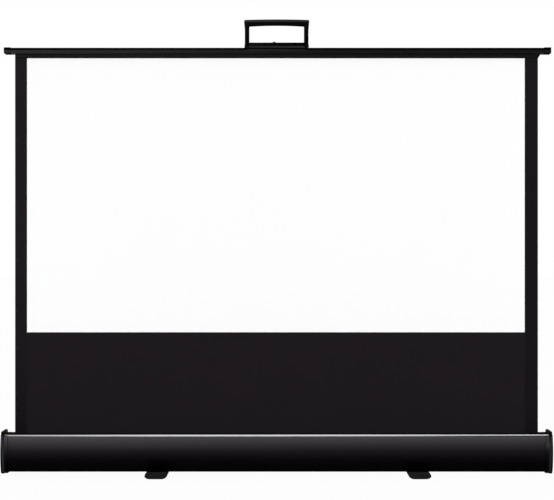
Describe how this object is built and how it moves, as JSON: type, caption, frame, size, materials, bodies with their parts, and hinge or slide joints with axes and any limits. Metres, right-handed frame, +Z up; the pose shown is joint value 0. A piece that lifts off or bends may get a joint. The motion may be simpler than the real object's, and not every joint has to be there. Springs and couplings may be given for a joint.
{
  "type": "pull-up projection screen",
  "caption": "Portable projection screen that pulls up out of its own casing on rear folding arms, with swivel feet, a top bar and a folding carry handle.",
  "frame": {"origin": "on the floor, below the middle of the screen, in the plane of the fabric's front", "axes": "+Z up, -Y towards the viewer, +X to the viewer's right"},
  "size_m": [1.1178, 0.184, 0.9306],
  "materials": {
    "casing_front": "smooth black enamel, glossy",
    "casing_rear": "black anodised, satin",
    "bright_trim": "bright satin anodised",
    "end_caps": "moulded black, fine grain",
    "top_bar": "black anodised, satin",
    "handle": "moulded black, fine grain",
    "screen_fabric": "matt white coated fabric with printed black borders and drop, black back",
    "black_fabric": "matt black coated fabric",
    "roller_tube": "mill finish",
    "arms": "black oxide, satin",
    "brackets": "black oxide, satin",
    "zinc_steel": "bright zinc plate",
    "spring_steel": "oiled spring wire",
    "nylon": "natural nylon",
    "feet": "moulded black, fine grain",
    "pads": "matt black rubber"
  },
  "bodies": {
    "casing_assembly": {"casing_front_shell": "casing_front", "casing_rear_channel": "casing_rear", "slot_trim": "bright_trim", "left_end_cap": "end_caps", "left_cap_front_screw": "zinc_steel", "left_cap_rear_screw": "zinc_steel", "right_end_cap": "end_caps", "right_cap_front_screw": "zinc_steel", "right_cap_rear_screw": "zinc_steel", "spring_shaft": "zinc_steel", "idle_pin": "zinc_steel", "spring_collar": "zinc_steel", "roller_spring": "spring_steel", "screen_fabric": "screen_fabric", "lower_bracket": "brackets", "lower_left_pin": "zinc_steel", "lower_right_pin": "zinc_steel", "lower_left_screw": "zinc_steel", "lower_right_screw": "zinc_steel", "left_foot_bolt": "zinc_steel", "left_foot_nut": "zinc_steel", "right_foot_bolt": "zinc_steel", "right_foot_nut": "zinc_steel"},
    "roller_assembly": {"roller_tube": "roller_tube", "wound_fabric": "black_fabric", "roller_spring_plug": "nylon", "roller_idle_plug": "nylon", "spring_carrier": "nylon"},
    "lower_left_assembly": {"lower_left_arm": "arms", "left_knee_pin": "zinc_steel", "left_knee_washer": "nylon", "left_knee_clip": "spring_steel"},
    "lower_right_assembly": {"lower_right_arm": "arms", "right_knee_pin": "zinc_steel", "right_knee_washer": "nylon", "right_knee_clip": "spring_steel"},
    "upper_left_assembly": {"upper_left_arm": "arms"},
    "upper_right_assembly": {"upper_right_arm": "arms"},
    "top_bar_assembly": {"top_bar": "top_bar", "top_bar_left_cap": "end_caps", "top_bar_right_cap": "end_caps", "fabric_clamp": "top_bar", "upper_bracket": "brackets", "upper_left_pin": "zinc_steel", "upper_right_pin": "zinc_steel", "upper_left_screw": "zinc_steel", "upper_right_screw": "zinc_steel", "handle_base": "handle", "handle_left_pin": "zinc_steel", "handle_right_pin": "zinc_steel", "button_spring": "spring_steel"},
    "handle_assembly": {"carry_handle": "handle"},
    "button_assembly": {"latch_button": "handle"},
    "left_foot_assembly": {"left_foot": "feet", "left_foot_front_pad": "pads", "left_foot_rear_pad": "pads"},
    "right_foot_assembly": {"right_foot": "feet", "right_foot_front_pad": "pads", "right_foot_rear_pad": "pads"}
  },
  "joints": [
    {"name": "fold", "type": "hinge", "parent": "casing_assembly", "child": "lower_left_assembly", "pos_m": [-0.014, 0.01, 0.03218], "axis": [0, -1, 0], "range_deg": [0, 72.05], "deforming": ["screen_fabric"]},
    {"name": "lower_right_fold", "type": "hinge", "parent": "casing_assembly", "child": "lower_right_assembly", "pos_m": [0.014, 0.01, 0.03218], "axis": [0, 1, 0], "range_deg": [0, 72.05]},
    {"name": "upper_left_fold", "type": "hinge", "parent": "lower_left_assembly", "child": "upper_left_assembly", "pos_m": [-0.12275, 0.0152, 0.43805], "axis": [0, 1, 0], "range_deg": [0, 144.1]},
    {"name": "upper_right_fold", "type": "hinge", "parent": "lower_right_assembly", "child": "upper_right_assembly", "pos_m": [0.12275, 0.0152, 0.43805], "axis": [0, -1, 0], "range_deg": [0, 144.1]},
    {"name": "top_bar_level", "type": "hinge", "parent": "upper_left_assembly", "child": "top_bar_assembly", "pos_m": [-0.014, 0.0152, 0.84393], "axis": [0, -1, 0], "range_deg": [0, 72.05]},
    {"name": "roller_spin", "type": "hinge", "parent": "casing_assembly", "child": "roller_assembly", "pos_m": [0, -0.0163, 0.048], "axis": [-1, 0, 0], "range_deg": [0, 2665.85]},
    {"name": "handle_fold", "type": "hinge", "parent": "top_bar_assembly", "child": "handle_assembly", "pos_m": [0, 0.008, 0.8762], "axis": [-1, 0, 0], "range_deg": [0, 90]},
    {"name": "latch_press", "type": "slide", "parent": "top_bar_assembly", "child": "button_assembly", "axis": [0, 0, -1], "range_m": [0, 0.0015], "stiffness_N_per_m": 500, "springref_m": -0.001, "deforming": ["button_spring"]},
    {"name": "left_foot_swivel", "type": "hinge", "parent": "casing_assembly", "child": "left_foot_assembly", "pos_m": [-0.243, 0, 0], "axis": [0, 0, 1], "range_deg": [0, 90]},
    {"name": "right_foot_swivel", "type": "hinge", "parent": "casing_assembly", "child": "right_foot_assembly", "pos_m": [0.288, 0, 0], "axis": [0, 0, -1], "range_deg": [0, 90]}
  ],
  "couplings": [
    {"joint": "lower_right_fold", "follows": "fold", "ratio": 1},
    {"joint": "upper_left_fold", "follows": "fold", "ratio": 2},
    {"joint": "upper_right_fold", "follows": "fold", "ratio": 2},
    {"joint": "top_bar_level", "follows": "fold", "ratio": 1},
    {"joint": "roller_spin", "follows": "fold", "ratio": 37}
  ]
}
